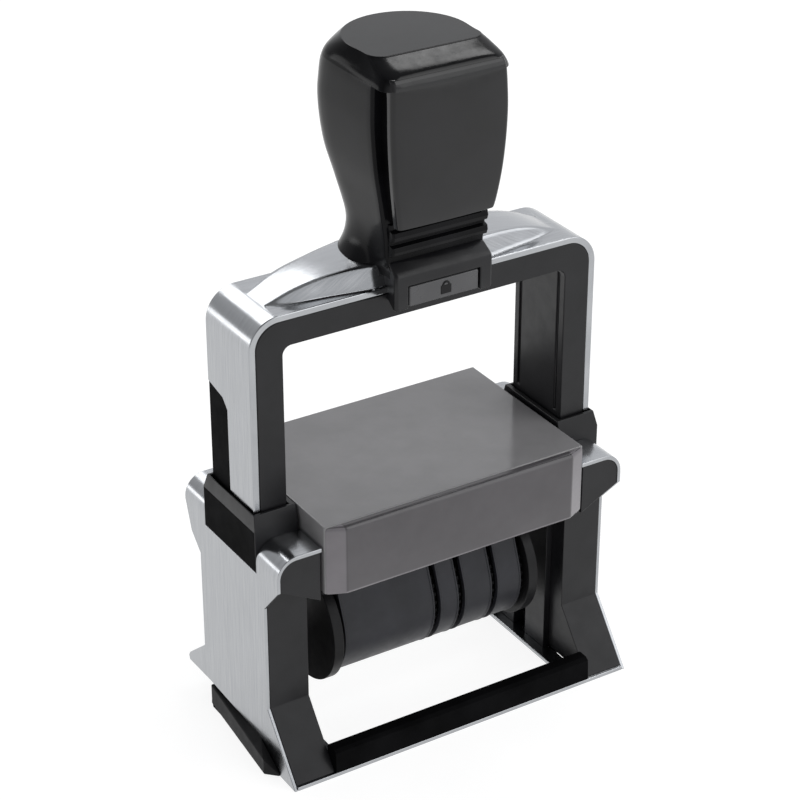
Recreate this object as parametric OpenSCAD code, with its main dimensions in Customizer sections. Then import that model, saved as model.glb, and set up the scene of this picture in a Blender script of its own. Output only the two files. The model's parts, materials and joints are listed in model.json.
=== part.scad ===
// Self-inking phrase and date stamp: a sprung frame slides down over a base,
// and a cam track turns the band carrier over, from the ink pad to the paper.
// Frame: X to the right, Y to the back, Z up, origin on the table at the base's centre.

/* [Base] */
// Overall width over the metal cheeks
base_w = 87; // [86:0.5:90]
// Thickness of a metal cheek
cheek_t = 0.8; // [0.6:0.1:0.8]
// Depth of the waist of a cheek
waist_d = 28.8; // [28.4:0.2:29.6]
// Depth over the shoulders
shoulder_d = 41.2; // [40:0.2:43]
// Depth over the front and rear bars
foot_d = 51.6; // [50:0.2:54]
// Height at which the foot starts to flare out
flare_z = 14.6; // [13:0.2:16]
// Height of the shoulders
shoulder_z = 55; // [54.6:0.2:55.4]
// Radius of a shoulder's round
shoulder_r = 4.8; // [4.4:0.2:5.2]
// Height of the guide collars
collar_z = 60.6; // [60:0.2:63]

/* [Sliding frame] */
// Depth of the sliding frame
frame_d = 18.6; // [18:0.2:19]
// Half width of the window between the legs
window_hw = 34.6; // [34.6:0.1:34.8]
// Height of the window's top
window_z = 97; // [92:0.5:100]
// Thickness of the plastic band over the window
band_h = 5.7; // [5:0.1:7]
// Thickness of the metal shell
shell_t = 1.6; // [1.4:0.1:1.8]
// Height of the roof's flat ridge
roof_z = 109.5; // [108:0.5:110]

/* [Mechanism] */
// Travel of the sliding frame
stroke = 28.1; // [27:0.1:28.1]
// Height of the turning axis at rest
axis_z = 37.8; // [37.8:0.1:38]
// Distance of the turning axis from the print face
print_r = 9.5; // [9:0.1:9.6]
// Height of the setting wheels' shaft at rest
wheel_z = 24; // [23.8:0.1:24.4]
// Outer radius of the bands round the setting wheels
band_r = 13.2; // [12.8:0.1:13.4]
// Distance of the cam pin from the turning axis
cam_r = 5; // [4.6:0.1:5.2]

/* [Ink pad] */
// Half width of the pad housing
pad_hw = 32.5; // [32.2:0.1:32.6]
// Height of the housing's top
pad_top = 59.9; // [59.5:0.1:61]
// Height of the housing's lower edge
pad_low = 43.65; // [43.6:0.05:43.8]

/* [Hidden] */
$fn = 48;

silver = "silver";
black = [0.16, 0.16, 0.17];
smoke = [0.5, 0.49, 0.51];
rubber = [0.2, 0.2, 0.23];
steel = [0.7, 0.7, 0.72];

slide_gap = 0.3;                         // between faces that slide past each other
cheek_out = base_w / 2;
cheek_in = cheek_out - cheek_t;
waist_y = waist_d / 2;
shoulder_y = shoulder_d / 2;
foot_y = foot_d / 2;
frame_y = frame_d / 2;
frame_hw = cheek_in - slide_gap;         // outer face of the sliding frame's shell
liner_hw = frame_hw - shell_t;
liner_top = window_z + band_h;
shell_top = liner_top + 1.5;
shell_r = 7;
leg_z = axis_z - 4.8;                    // lower end of the legs
column_in = window_hw - 1.4;             // inner edge of a column's walls
well_y = frame_y + 0.5;                  // half depth of the well that a leg slides in
cam_in = 31.7;                           // inner and outer faces of the cam rails
cam_out = window_hw - slide_gap;
cam_depth = 1.4;
cam_top = pad_low - 0.05;
recess_y = well_y + 1.6;                 // half depth of a guide collar
recess_z = 47.5;                         // bottom of the collar's recess in a cheek
collar_low = 46;                         // bottom of a collar's inner step
plate_t = 0.9;
bar_d = 4;
bar_z = 6.5;
floor_z = 3.5;
foot_front = -16;
foot_back = 12.2;
foot_z = 5.2;
cheek_low = 6.2;                         // a cheek's lower edge behind the foot strip
step_y = [-12.2, -11.2];                 // where a cheek steps down to the table, below and above
wedge_x = 46.1;                          // the foot's outermost corner
wedge_y = -16.8;
block_z = [42.2, 47.3];                  // lower edge of a shoulder's block, inner and outer
rim_z = 3.3;                             // height and set-back of a collar's bevelled rim
rim_y = 1.1;
axle_r = 2;
shaft_r = 2;
run_gap = 0.05;                          // radial clearance of a running fit
bush_r = 2.9;
bush_len = 5;
pin_r = 1.4;
spring_x = (window_hw + liner_hw) / 2;
spring_y = 5.8;
spring_well_r = 2.5;
spring_r = 1.9;
wire_r = 0.3;
spring_top = 92;
rod_r = 0.9;
rod_top = 60;

// band positions along the shaft: [start, end]
phrase_x = [-23.2, -0.3];
day_x = [1.2, 6];
month_x = [7.6, 14.8];
year_x = [16.3, 22.6];
band_t = 1.2;
rim_gap = 0.4;
rim_t = 0.9;                             // thickness of a wheel's finger rim
rim_r = band_r - 0.7;
wheel_r = band_r - band_t - rim_gap;
plate_x = [24.1, 26.5];                  // inner and outer faces of an end plate
plate_r = band_r + 1;
anvil_y = 4;
disc_x = [28.9, 30.7];
disc_r = 8.2;
pin_seat = 1.2;                          // depth of a cam pin's seat in its disc

pad_wall = 1.5;
housing_y = 22.6;
housing_front = -21;
rail_x = 29.2;
rail_z = [46.6, 47.5];
tray_hw = pad_hw - pad_wall - slide_gap;
tray_z = [rail_z[1] + slide_gap, 56.5];
tray_y = [-21.3, 20.5];
pad_y = 13;
pad_x = 28.5;
pad_face = rail_z[1];
pad_t = 3;
grip_y = -23.2;                          // front face of the cassette
grip_flat = 28.3;                        // half width of that face

saddle_hw = 12.1;
saddle_front = -15.4;
saddle_back = 12;
saddle_z = [101.2, 112];
roof_x = [12, 37];                       // the roof's flat ridge, and its far tips
roof_y = [5.5, 2];
button = [16.8, 2.6, 4.5];
button_y = -15.2;
button_z = 101.6;
button_travel = 1.2;
bolt_r = 1.9;
panel_back = -11.8;

// Extrude a (Y, Z) outline from x0 to x1, or an (X, Z) outline from y0 to y1.
module along_x(x0, x1) translate([x0, 0, 0]) rotate([90, 0, 90]) linear_extrude(x1 - x0) children();
module along_y(y0, y1) translate([0, y1, 0]) rotate([90, 0, 0]) linear_extrude(y1 - y0) children();
module rod_x(x0, x1, r, y, z) translate([x0, y, z]) rotate([0, 90, 0]) cylinder(r = r, h = x1 - x0);
module rod_z(x, y, z0, z1, r) translate([x, y, z0]) cylinder(r = r, h = z1 - z0);
module box(lo, hi) translate(lo) cube(hi - lo);
module left() mirror([1, 0, 0]) children();

function arc(cx, cy, r, a0, a1, n = 10) =
    [for (i = [0:n]) let (a = a0 + (a1 - a0) * i / n) [cx + r * cos(a), cy + r * sin(a)]];

// An arch: straight sides from z0, and a flat top at z1 with round corners.
function arch(hw, z0, z1, r) =
    concat([[-hw, z0], [hw, z0]], arc(hw - r, z1 - r, r, 0, 90), arc(r - hw, z1 - r, r, 90, 180));

// A column's outline across X and Z, rounded at the shoulder.
function shoulder(x_in, x_out, top, r) =
    concat([[x_in, 0], [x_out, 0]], arc(x_out - r, top - r, r, 0, 90), [[x_in, top]]);

// The front and back edges of a cheek, seen from the side; dy and top set the back one back for a column.
function front_edge() = [[-waist_y, flare_z], [-waist_y, 40.3],
    [-shoulder_y, block_z[1]], [-shoulder_y, shoulder_z]];
function back_edge(dy, top) = [[shoulder_y - dy, top], [shoulder_y - dy, 49.5], [18.2 - dy, 42.5],
    [waist_y, 38.8], [waist_y, flare_z], [22.1, 8.2], [22.7, 7.2], [22.3, 6]];

// A cheek, cut back at its shoulder where the leg passes and the collar sits.
module cheek() color(silver) difference() {
    intersection() {
        along_x(column_in - 0.4, cheek_out) polygon(concat([[-foot_y, 0]], front_edge(),
            [[-recess_y, shoulder_z], [-recess_y, recess_z], [recess_y, recess_z], [recess_y, shoulder_z]],
            back_edge(0, shoulder_z), [[foot_back, cheek_low], [step_y[1], foot_z], [step_y[0], 0]]));
        along_y(-foot_y - 1, foot_y + 1) difference() {
            polygon(shoulder(column_in - 0.4, cheek_out, shoulder_z, shoulder_r));
            polygon(shoulder(0, cheek_in, shoulder_z - 1, shoulder_r - 1));
            translate([0, -1]) square([cheek_in, 10]);
        }
    }
    box([0, -well_y, shoulder_z - shoulder_r - 1], [cheek_in, well_y, shoulder_z]);
    box([0, -recess_y, collar_low], [cheek_in, recess_y, shoulder_z]);
}

module bottom_plate() color(silver) difference() {
    union() {
        box([-column_in, -foot_y, 0], [column_in, foot_y, plate_t]);
        box([-cheek_in, -foot_y, 0], [cheek_in, foot_front - 1, plate_t]);
    }
    box([-29.3, bar_d - foot_y, -1], [29.3, foot_y - bar_d, 2]);
    for (s = [-1, 1]) rod_z(s * 37.8, -20.3, -1, 2, 2.25);
}

// The path of the cam pin while the axis sinks by the stroke in half a turn.
function cam_point(a) = [cam_r * sin(a), axis_z - stroke * a / 180 - cam_r * cos(a)];
function cam_normal(a) = let (d = [cam_r * cos(a), cam_r * sin(a) - stroke / PI]) [-d[1], d[0]] / norm(d);
function cam_groove(w) = let (tilt = atan2(cam_r, stroke / PI)) concat(
    [for (a = [0:10:180]) cam_point(a) + w * cam_normal(a)],
    [for (a = [-tilt:-30:-tilt - 180]) cam_point(180) + w * [cos(a), sin(a)]],
    [for (a = [180:-10:0]) cam_point(a) - w * cam_normal(a)],
    [for (a = [tilt + 180:-30:tilt]) cam_point(0) + w * [cos(a), sin(a)]]);

module column() color(black) difference() {
    union() {
        intersection() {
            union() {
                along_x(column_in, cheek_in) polygon([[-well_y, plate_t], [-foot_y + 0.7, plate_t],
                    [-waist_y, flare_z], [-waist_y, block_z[0]], [0.2 - shoulder_y, block_z[0]],
                    [0.2 - shoulder_y, shoulder_z], [-recess_y, shoulder_z], [-recess_y, collar_low],
                    [-well_y, collar_low]]);
                along_x(column_in, cheek_in) polygon(concat([[well_y, plate_t], [well_y, collar_low],
                    [recess_y, collar_low], [recess_y, shoulder_z]], back_edge(0.2, shoulder_z),
                    [[foot_back, cheek_low], [foot_back, plate_t]]));
            }
            along_y(-foot_y, foot_y)
                polygon(shoulder(column_in, cheek_in, shoulder_z - 1, shoulder_r - 1));
        }
        box([cam_out, -well_y - 1, plate_t], [cheek_in - 2, well_y + 1, floor_z]);
    }
    rod_z(37.8, -20.3, 0, 4.7, 1.2);
    rod_z(37.8, 11.2, 0, 9, 1.2);
    // the shoulder's block slants up to the cheek
    along_y(-foot_y, -waist_y) polygon([[column_in - 1, flare_z + 1], [cheek_in + 1, flare_z + 1],
        [cheek_in + 1, block_z[1]], [cheek_in, block_z[1]], [column_in, block_z[0]],
        [column_in - 1, block_z[0]]]);
    // the well stays clear for the leg and the cam rails
    box([column_in - 1, -well_y, plate_t - 1], [cam_out, well_y, shoulder_z]);
    box([cam_out - 1, -well_y, floor_z], [cheek_in + 1, well_y, shoulder_z]);
    box([cheek_in - 2, foot_front, 0], [cheek_in + 1, foot_back + 1, foot_z]);
}

// Two rails a side, with the blind cam groove; the axle travels in the slot between them.
module cam_rails() color(black) difference() {
    box([cam_in, -well_y, plate_t], [cam_out, well_y, cam_top]);
    box([cam_in - 1, -axle_r - slide_gap, 0], [cam_out + 1, axle_r + slide_gap, cam_top + 1]);
    along_x(cam_in - 1, cam_in + cam_depth) polygon(cam_groove(pin_r + slide_gap));
}

// A foot strip under a cheek, with a wedge that widens outwards to the front.
module foot() color(black) difference() {
    union() {
        along_x(cheek_in - 2, cheek_out) polygon([[foot_front, 0], [foot_back - 1, 0], [foot_back, 1.2],
            [foot_back, foot_z], [step_y[1], foot_z], [foot_front, 3.6]]);
        polyhedron([[cheek_out, foot_back, 0], [wedge_x, wedge_y, 0], [cheek_out, wedge_y - 2.6, 0],
            [cheek_out, foot_back, foot_z], [wedge_x, wedge_y, 4], [cheek_out, wedge_y - 2.6, 0.6],
            [cheek_out, step_y[1], foot_z]],
            [[2, 1, 0], [4, 6, 3], [4, 5, 6], [1, 4, 3, 0], [2, 5, 4, 1], [3, 6, 5, 2, 0]]);
    }
    along_x(cheek_in, cheek_out) polygon([[-foot_y, -1], [step_y[0] - 0.2, -1], [step_y[0], 0],
        [step_y[1], foot_z], [foot_back, cheek_low], [foot_back + 1, cheek_low], [foot_back + 1, 9], [-foot_y, 9]]);
    // room for the leg's lower end
    box([cheek_in - 3, -well_y, floor_z - slide_gap], [cheek_in, well_y, foot_z + 1]);
}

module bar() along_x(-column_in, column_in) polygon([[-foot_y, plate_t],
    [bar_d - foot_y, plate_t], [bar_d - foot_y, bar_z - 0.5], [bar_d - foot_y - 0.5, bar_z],
    [1.2 - foot_y, bar_z], [0.3 - foot_y, bar_z - 0.6]]);
module front_bar() color(black) bar();
// The rear bar has two arms that reach forward to the columns.
module rear_bar() color(black) {
    mirror([0, 1, 0]) bar();
    for (s = [0, 1]) mirror([s, 0, 0])
        box([29.8, recess_y, plate_t], [column_in, foot_y - bar_d + 1, bar_z - 0.5]);
}

module collar() color(black) difference() {
    union() {
        box([column_in, -recess_y, collar_low], [cheek_in, recess_y, collar_z - rim_z]);
        box([column_in, -recess_y, recess_z], [cheek_out, recess_y, collar_z - rim_z]);
        hull() {
            box([column_in, -recess_y, collar_z - rim_z - 0.1], [cheek_out, recess_y, collar_z - rim_z]);
            box([column_in, rim_y - recess_y, collar_z - 0.1], [cheek_out - 0.5, recess_y - rim_y, collar_z]);
        }
    }
    box([cam_out, -frame_y - slide_gap, 40], [cheek_in, frame_y + slide_gap, 70]);
}

module pad_housing() color(smoke) {
    box([-pad_hw, housing_front, pad_top - pad_wall], [pad_hw, housing_y, pad_top]);
    box([-pad_hw, housing_y - pad_wall, pad_low], [pad_hw, housing_y, pad_top]);
    for (s = [0, 1]) mirror([s, 0, 0]) {
        box([pad_hw - pad_wall, housing_front, pad_low], [pad_hw, housing_y, pad_top]);
        box([pad_hw - 0.5, -8, 48], [column_in, 8, 54]);
    }
}

// The cassette slides on two rails inside the housing.
module cassette_rails() color(smoke) for (s = [0, 1]) mirror([s, 0, 0])
    box([rail_x, housing_front, rail_z[0]], [pad_hw - pad_wall, housing_y - pad_wall, rail_z[1]]);

module guide_rod() color(steel) rod_z(spring_x, spring_y, floor_z, rod_top, rod_r);

// A coil spring: one polyhedron that carries a ring of points along the helix.
module coil(z0, z1, r, wire, turns, steps = 12, sides = 6) {
    n = turns * steps;
    points = [for (i = [0:n]) let (a = 360 * i / steps, z = z0 + wire + (z1 - z0 - 2 * wire) * i / n)
        for (k = [0:sides - 1]) let (b = 360 * k / sides)
            [(r + wire * cos(b)) * cos(a), (r + wire * cos(b)) * sin(a), z + wire * sin(b)]];
    skin = [for (i = [0:n - 1]) for (k = [0:sides - 1]) let (q = (k + 1) % sides, a = i * sides, b = a + sides)
        for (t = [[a + k, b + k, b + q], [a + k, b + q, a + q]]) t];
    ends = [[for (k = [0:sides - 1]) k], [for (k = [sides - 1:-1:0]) n * sides + k]];
    polyhedron(points, concat(skin, ends));
}
module spring() color(steel) translate([spring_x, spring_y, 0])
    coil(floor_z, spring_top, spring_r, wire_r, 22);

module screw(x, y, length) {
    rod_z(x, y, 0.15, plate_t, 2.1);
    rod_z(x, y, plate_t, plate_t + length, 1.15);
}
module base_screws() color(steel) for (s = [-1, 1]) {
    screw(s * 37.8, -20.3, 3.6);
    rod_z(s * 37.8, 11.2, plate_t, 8, 1.15);
}

module crossbar_roof() hull() {
    box([-roof_x[1], -roof_y[1], shell_top - 0.5], [roof_x[1], roof_y[1], shell_top]);
    box([-roof_x[0], -frame_y, shell_top - 0.5], [roof_x[0], frame_y, shell_top]);
    box([-roof_x[0], -roof_y[0], shell_top - 0.5], [roof_x[0], roof_y[0], roof_z]);
}

module frame_shell() color(silver) difference() {
    union() {
        along_y(-frame_y, frame_y) difference() {
            polygon(arch(frame_hw, leg_z, shell_top, shell_r));
            polygon(arch(liner_hw, leg_z - 1, liner_top, shell_r - shell_t));
        }
        crossbar_roof();
    }
    // the rear third of each leg shows the plastic below
    for (s = [0, 1]) mirror([s, 0, 0]) along_x(liner_hw, frame_hw + 1)
        polygon([[1.2, leg_z - 1], [frame_y + 1, leg_z - 1], [frame_y + 1, 83.6], [3.2, 82.3], [1.2, 80.2]]);
    rod_z(0, 0, 90, 120, bolt_r + 0.1);
}

module frame_liner() color(black) difference() {
    along_y(-frame_y, frame_y) difference() {
        polygon(arch(liner_hw, leg_z, liner_top, shell_r - shell_t));
        polygon(arch(window_hw, leg_z - 1, window_z, 2));
    }
    for (s = [0, 1]) mirror([s, 0, 0]) {
        rod_x(window_hw - 1, window_hw + bush_len, bush_r, 0, axis_z);
        rod_z(spring_x, spring_y, leg_z - 1, spring_top + 0.5, spring_well_r);
        for (y = [-7.4, 6.6]) box([window_hw - 1, y, 62], [window_hw + 0.5, y + 0.9, window_z - 1.5]);
    }
    rod_z(0, 0, 90, 120, bolt_r + 0.1);
    rod_z(0, 0, 90, window_z + 2.2, 3.5);
}

module bush() color(steel) difference() {
    rod_x(window_hw, window_hw + bush_len, bush_r, 0, axis_z);
    rod_x(window_hw - 1, window_hw + bush_len + 1, axle_r + run_gap, 0, axis_z);
}

// A level slice of the saddle or handle, with rounder corners at the back than at the front.
module slice(z, hw, front, back, r_front, r_back) translate([0, 0, z]) linear_extrude(0.1) hull()
    for (s = [-1, 1]) {
        translate([s * (hw - r_front), front + r_front]) circle(r_front, $fn = 24);
        translate([s * (hw - r_back), back - r_back]) circle(r_back, $fn = 32);
    }

module saddle() color(black) difference() {
    union() {
        hull() {
            slice(saddle_z[0], saddle_hw - 0.4, saddle_front, saddle_back, 0.8, 2);
            slice(saddle_z[0] + 0.6, saddle_hw, saddle_front, saddle_back, 0.8, 2);
            slice(108.5, saddle_hw + 0.3, saddle_front, saddle_back, 0.8, 3);
        }
        hull() {
            slice(108.5, saddle_hw + 0.3, saddle_front, saddle_back, 0.8, 3);
            slice(110.3, saddle_hw + 0.3, -14, 11.6, 1.5, 5);
        }
        hull() {
            slice(110.3, saddle_hw + 0.3, -14, 11.6, 1.5, 5);
            slice(saddle_z[1] - 0.1, saddle_hw, -13.2, 10.4, 2, 7);
        }
    }
    along_x(-20, 20) polygon([[-frame_y - 0.02, 90], [-frame_y - 0.02, shell_top + 0.02],
        [-roof_y[0] - 0.02, roof_z + 0.02], [roof_y[0] + 0.02, roof_z + 0.02],
        [frame_y + 0.02, shell_top + 0.02], [frame_y + 0.02, 90]]);
    box([-button[0] / 2 - slide_gap, saddle_front - 1, button_z - slide_gap],
        [button[0] / 2 + slide_gap, button_y + button[1] + button_travel + 0.4, button_z + button[2] + slide_gap]);
    rod_z(0, 0, 100, 120, bolt_r + 0.1);
}

module handle_body() color(black) difference() {
    union() {
        hull() { slice(112, 12.1, -11.8, 10.4, 1.5, 7); slice(117, 12.2, -11.8, 10.1, 1.5, 7); }
        hull() { slice(117, 12.2, -11.8, 10.1, 1.5, 7); slice(124, 13.2, -11.8, 12.4, 1.5, 8); }
        hull() { slice(124, 13.2, -11.8, 12.4, 1.5, 8); slice(131, 14.3, -11.8, 14.9, 1.5, 8); }
        hull() { slice(131, 14.3, -11.8, 14.9, 1.5, 8); slice(140, 15.1, -11.8, 15.4, 1.5, 8); }
        hull() { slice(140, 15.1, -11.8, 15.4, 1.5, 8); slice(146, 15, -11.8, 14.6, 1.5, 8); }
        hull() { slice(146, 15, -11.8, 14.6, 1.5, 8); slice(151.5, 14.3, -11.8, 12.9, 1.5, 7); }
    }
    rod_z(0, 0, 100, 132, bolt_r + 0.1);
}

module handle_panel() color(black) {
    hull() { panel_slice(118.2, 11.2, -16); panel_slice(122, 12, -16.8); }
    hull() { panel_slice(122, 12, -16.8); panel_slice(130, 13.1, -17.4); }
    hull() { panel_slice(130, 13.1, -17.4); panel_slice(140, 13.7, -17.5); }
    hull() { panel_slice(140, 13.7, -17.5); panel_slice(151.5, 13.3, -16.2); }
}
module panel_slice(z, hw, front) slice(z, hw, front, panel_back, 0.8, 0.4);

module handle_cap() color(black) {
    hull() { slice(151.6, 14.3, -16, 12.9, 2, 7); slice(152.7, 13.8, -14, 12.6, 2.5, 8); }
    hull() { slice(152.7, 13.8, -14, 12.6, 2.5, 8); slice(153.8, 13, -9.9, 12, 3, 9); }
}

module handle_bolt() color(steel) {
    rod_z(0, 0, window_z, window_z + 2.2, 3.3);
    rod_z(0, 0, window_z + 2.2, 131, bolt_r);
}

module lock_leaf() color(steel)
    box([-4, button_y + button[1] + button_travel + 0.1, button_z + 0.8],
        [4, button_y + button[1] + button_travel + 0.4, button_z + 4.1]);
module lock_button() color(smoke)
    box([-button[0] / 2, button_y, button_z], [button[0] / 2, button_y + button[1], button_z + button[2]]);

module cassette_tray() color(smoke) difference() {
    box([-tray_hw, tray_y[0], tray_z[0]], [tray_hw, tray_y[1], tray_z[1]]);
    box([-pad_x, -pad_y, tray_z[0] - 1], [pad_x, pad_y, pad_face + pad_t]);
    box([1 - tray_hw, -19, pad_face + pad_t + 1.2], [tray_hw - 1, 19, tray_z[1] + 1]);
}
module cassette_front() color(smoke) translate([0, 0, pad_low]) linear_extrude(pad_top - pad_low - 0.5)
    polygon([[-pad_hw, tray_y[0]], [-pad_hw, tray_y[0] - 0.4], [-grip_flat, grip_y],
        [grip_flat, grip_y], [pad_hw, tray_y[0] - 0.4], [pad_hw, tray_y[0]]]);
module ink_pad() color("indigo") box([-pad_x, -pad_y, pad_face], [pad_x, pad_y, pad_face + pad_t]);

module end_plate() color(black) difference() {
    along_x(plate_x[0], plate_x[1]) {
        translate([0, wheel_z]) circle(plate_r);
        translate([0, axis_z]) circle(6.2);
        translate([-anvil_y, wheel_z]) square([2 * anvil_y, axis_z + print_r - wheel_z - 1.2]);
        translate([-9, wheel_z]) square([18, axis_z - wheel_z - 2]);
    }
    rod_x(plate_x[0] - 1, plate_x[1] + 1, shaft_r + 0.02, 0, wheel_z);
}
module trunnion() color(black) difference() {
    union() {
        rod_x(plate_x[1], disc_x[0], 4.5, 0, axis_z);
        rod_x(disc_x[0], disc_x[1], disc_r, 0, axis_z);
    }
    rod_x(plate_x[1] - 1, disc_x[1] + 1, axle_r, 0, axis_z);
    rod_x(disc_x[1] - pin_seat, disc_x[1] + 1, pin_r, 0, axis_z - cam_r);
}
module axle() color(steel) rod_x(plate_x[1], window_hw + bush_len - 0.2, axle_r, 0, axis_z);
module cam_pin() color(steel)
    rod_x(disc_x[1] - pin_seat, cam_in + cam_depth - 0.3, pin_r, 0, axis_z - cam_r);
module anvil() color(black) box([-plate_x[0], -anvil_y, axis_z - 0.8],
    [plate_x[0], anvil_y, axis_z + print_r - band_t - 0.1]);
module wheel_shaft() color(steel) rod_x(-plate_x[1], plate_x[1], shaft_r, 0, wheel_z);

// A band runs over the anvil's square edge and round its setting wheel.
module band_outline(t) hull() {
    translate([0, wheel_z]) circle(band_r - band_t + t, $fn = 64);
    for (s = [-1, 1]) translate([s * anvil_y, axis_z + print_r - band_t - 0.4]) circle(0.4 + t, $fn = 16);
}
module band(x) color(rubber) along_x(x[0], x[1]) difference() {
    band_outline(band_t);
    band_outline(0);
}

// A setting wheel: the band lies on its drum, and fingers turn its rim.
module setting_wheel(x) color(black) difference() {
    union() {
        rod_x(x[0] + 0.1, x[1], wheel_r, 0, wheel_z);
        rod_x(x[1], x[1] + rim_t, rim_r, 0, wheel_z);
    }
    rod_x(x[0] - 1, x[1] + 2, shaft_r + run_gap, 0, wheel_z);
}

left() cheek();  // left_cheek
cheek();  // right_cheek
bottom_plate();
left() column();  // left_column
column();  // right_column
front_bar();
rear_bar();
left() collar();  // left_collar
collar();  // right_collar
left() foot();  // left_foot
foot();  // right_foot
left() cam_rails();  // left_cam_rails
cam_rails();  // right_cam_rails
pad_housing();
cassette_rails();
left() guide_rod();  // left_guide_rod
guide_rod();  // right_guide_rod
left() spring();  // left_spring
spring();  // right_spring
base_screws();
frame_shell();
frame_liner();
saddle();
handle_body();
handle_panel();
handle_cap();
handle_bolt();
left() bush();  // left_bush
bush();  // right_bush
lock_leaf();
lock_button();
cassette_tray();
cassette_front();
ink_pad();
left() end_plate();  // left_end_plate
end_plate();  // right_end_plate
left() trunnion();  // left_trunnion
trunnion();  // right_trunnion
left() axle();  // left_axle
axle();  // right_axle
left() cam_pin();  // left_cam_pin
cam_pin();  // right_cam_pin
anvil();
wheel_shaft();
band(phrase_x);  // phrase_band
band(day_x);  // day_band
band(month_x);  // month_band
band(year_x);  // year_band
setting_wheel(phrase_x);  // phrase_wheel
setting_wheel(day_x);  // day_wheel
setting_wheel(month_x);  // month_wheel
setting_wheel(year_x);  // year_wheel
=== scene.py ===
import math

import bmesh
import bpy
from mathutils import Matrix, Vector
from mathutils.geometry import convex_hull_2d
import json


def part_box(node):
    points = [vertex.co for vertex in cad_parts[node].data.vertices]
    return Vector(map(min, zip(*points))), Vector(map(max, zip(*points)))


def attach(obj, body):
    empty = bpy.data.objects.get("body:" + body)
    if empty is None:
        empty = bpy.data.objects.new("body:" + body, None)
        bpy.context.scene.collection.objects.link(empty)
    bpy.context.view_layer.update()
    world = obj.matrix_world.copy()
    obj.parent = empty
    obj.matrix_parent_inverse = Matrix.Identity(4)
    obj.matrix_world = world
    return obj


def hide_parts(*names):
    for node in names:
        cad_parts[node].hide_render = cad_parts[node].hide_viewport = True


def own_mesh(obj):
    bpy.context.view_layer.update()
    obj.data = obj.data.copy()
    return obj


MM = 0.001
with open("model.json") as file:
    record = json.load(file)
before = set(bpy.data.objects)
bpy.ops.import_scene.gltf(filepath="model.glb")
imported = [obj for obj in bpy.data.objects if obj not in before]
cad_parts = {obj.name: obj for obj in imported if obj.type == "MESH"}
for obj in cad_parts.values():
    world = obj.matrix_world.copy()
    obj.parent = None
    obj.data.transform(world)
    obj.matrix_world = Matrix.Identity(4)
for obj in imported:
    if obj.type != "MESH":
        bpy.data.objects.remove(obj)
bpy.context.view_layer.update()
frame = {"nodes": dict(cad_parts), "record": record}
nodes = frame["nodes"]


# ---------------------------------------------------------------- mesh helpers

def span(node):
    """The lowest and highest corner of a CAD node, in millimetres."""
    low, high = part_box(node)
    return low / MM, high / MM


def new_mesh(name, points, faces):
    """A mesh from points in millimetres, with its faces turned outwards."""
    mesh = bpy.data.meshes.new(name)
    mesh.from_pydata([Vector(p) * MM for p in points], [], faces)
    bm = bmesh.new()
    bm.from_mesh(mesh)
    bmesh.ops.recalc_face_normals(bm, faces=bm.faces)
    bm.to_mesh(mesh)
    bm.free()
    return mesh


def new_object(name, data):
    """An object in the scene."""
    result = bpy.data.objects.new(name, data)
    bpy.context.scene.collection.objects.link(result)
    return result


def baked_mesh(source):
    """A new mesh with the source's modifiers or text made real."""
    bpy.context.view_layer.update()
    return bpy.data.meshes.new_from_object(source.evaluated_get(bpy.context.evaluated_depsgraph_get()))


def make(name, points, faces, material, body, replaced, slot, smooth=True):
    """A mesh piece from points in millimetres, riding on a CAD body."""
    piece = new_object(name, new_mesh(name, points, faces))
    if smooth:
        piece.data.shade_smooth()
    piece.data.materials.append(material)
    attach(piece, body)
    if replaced:
        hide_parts(*replaced)
    return piece


def round_edges(piece, width, angle, segments=3):
    """Rounds the edges that are sharper than the angle."""
    bevel = piece.modifiers.new("Round", "BEVEL")
    bevel.width = width * MM
    bevel.segments = segments
    bevel.limit_method = "ANGLE"
    bevel.angle_limit = math.radians(angle)
    bevel.use_clamp_overlap = False
    bevel.harden_normals = True


def loft(rings, closed=False):
    """Points and faces of a skin through rings of equal length, capped at both ends or closed to a loop."""
    m, n = len(rings), len(rings[0])
    points = [p for ring in rings for p in ring]
    faces = [(i * n + k, i * n + (k + 1) % n, (i + 1) % m * n + (k + 1) % n, (i + 1) % m * n + k)
             for i in range(m if closed else m - 1) for k in range(n)]
    if not closed:
        faces += [tuple(range(n)), tuple((m - 1) * n + k for k in range(n))]
    return points, faces


def box_points(x0, x1, y0, y1, z0, z1):
    """Points and faces of a box."""
    points = [(x, y, z) for x in (x0, x1) for y in (y0, y1) for z in (z0, z1)]
    return points, [(0, 1, 3, 2), (4, 6, 7, 5), (0, 4, 5, 1), (2, 3, 7, 6), (0, 2, 6, 4), (1, 5, 7, 3)]


def cut(piece, points, faces):
    """Takes a closed shape out of a piece, for good."""
    cutter = new_object("cutter", new_mesh("cutter", points, faces))
    boolean = piece.modifiers.new("Cut", "BOOLEAN")
    boolean.object = cutter
    boolean.operation = "DIFFERENCE"
    boolean.solver = "EXACT"
    result = baked_mesh(piece)
    piece.modifiers.remove(boolean)
    piece.data = result
    bpy.data.objects.remove(cutter)


def circle(cx, cy, r, count):
    """Points round a circle in a plane."""
    return [(cx + r * math.cos(math.tau * k / count), cy + r * math.sin(math.tau * k / count))
            for k in range(count)]


def arc(cx, cy, r, start, end, steps):
    """Points of an arc in a plane, angles in degrees."""
    turns = [math.radians(start + (end - start) * i / steps) for i in range(steps + 1)]
    return [(cx + r * math.cos(turn), cy + r * math.sin(turn)) for turn in turns]


def mirrored(right):
    """A closed outline from its right half, which starts and ends on the middle line."""
    return right + [(-x, y) for x, y in reversed(right[1:-1])]


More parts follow.
